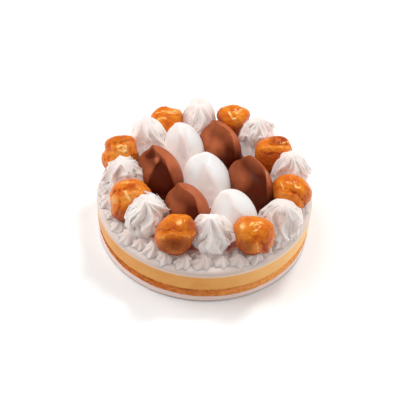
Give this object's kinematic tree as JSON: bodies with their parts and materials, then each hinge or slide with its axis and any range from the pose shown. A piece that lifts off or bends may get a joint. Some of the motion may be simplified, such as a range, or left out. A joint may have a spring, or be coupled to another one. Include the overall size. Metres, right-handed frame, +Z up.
{
  "type": "saint honore cake",
  "caption": "Round layered cream cake topped with a crown of glazed choux puffs alternating with piped cream peaks, around chocolate and vanilla cream dollops.",
  "frame": {"origin": "middle of the flat underside, where the cake rests", "axes": "+Z up through the middle of the cake, -Y towards the side seen in the picture, +X to its right"},
  "size_m": [0.22, 0.22, 0.086],
  "materials": {
    "base": "smooth pale cream, matt",
    "sponge": "porous browned crumb, matt",
    "custard": "smooth cut custard, satin",
    "cream": "whipped cream, soft satin",
    "choux": "caramel glaze over browned choux, glossy",
    "chocolate": "chocolate cream, soft satin",
    "vanilla": "vanilla cream, soft satin"
  },
  "bodies": {
    "root": {"base": "base", "sponge": "sponge", "custard": "custard", "cream_top": "cream", "puff_1": "choux", "puff_2": "choux", "puff_3": "choux", "puff_4": "choux", "puff_5": "choux", "puff_6": "choux", "puff_7": "choux", "puff_8": "choux", "peak_1": "cream", "peak_2": "cream", "peak_3": "cream", "peak_4": "cream", "peak_5": "cream", "peak_6": "cream", "peak_7": "cream", "peak_8": "cream", "chocolate_dollop_1": "chocolate", "chocolate_dollop_2": "chocolate", "chocolate_dollop_3": "chocolate", "chocolate_dollop_4": "chocolate", "vanilla_dollop_1": "vanilla", "vanilla_dollop_2": "vanilla", "vanilla_dollop_3": "vanilla"}
  },
  "joints": []
}
